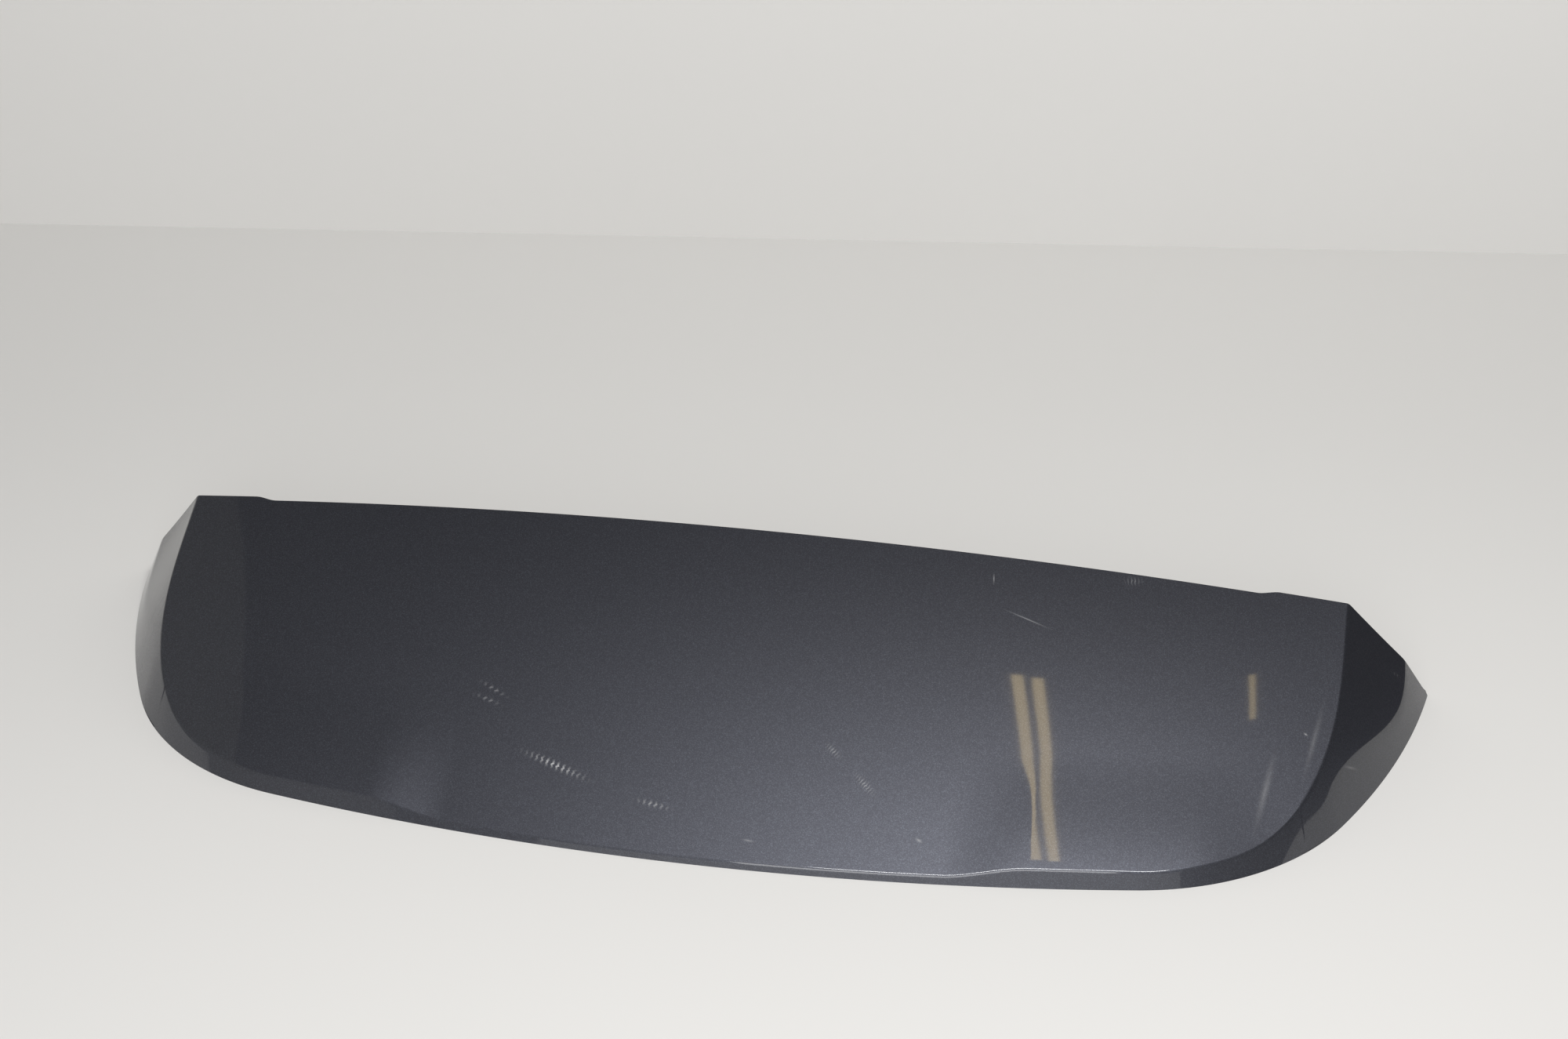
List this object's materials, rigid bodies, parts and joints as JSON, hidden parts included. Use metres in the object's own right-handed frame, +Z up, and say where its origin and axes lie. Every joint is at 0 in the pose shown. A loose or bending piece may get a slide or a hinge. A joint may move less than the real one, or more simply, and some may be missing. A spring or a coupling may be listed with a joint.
{
  "type": "tailgate spoiler",
  "caption": "Painted tailgate spoiler with a full-width top panel, turned-down faceted ends, a thin trailing lip and a black lower panel with studs and locating pins.",
  "frame": {"origin": "centre of the spoiler's box on the plane of the lip's lower edge, which it rests on", "axes": "+X along the width to the car's right, +Y towards the car's roof, +Z up from the rest plane"},
  "size_m": [1.2, 0.3526, 0.1474],
  "materials": {
    "painted_skin": "gloss",
    "black_moulding": "matte",
    "zinc_steel": "satin",
    "spring_steel": "satin",
    "black_foam": "matte"
  },
  "bodies": {
    "root": {"outer_skin": "painted_skin", "lower_panel": "black_moulding", "mounting_studs": "zinc_steel", "spring_clips": "spring_steel", "foam_rings": "black_foam", "front_seal": "black_foam", "side_strip_left": "black_foam", "side_strip_right": "black_foam"}
  },
  "joints": []
}
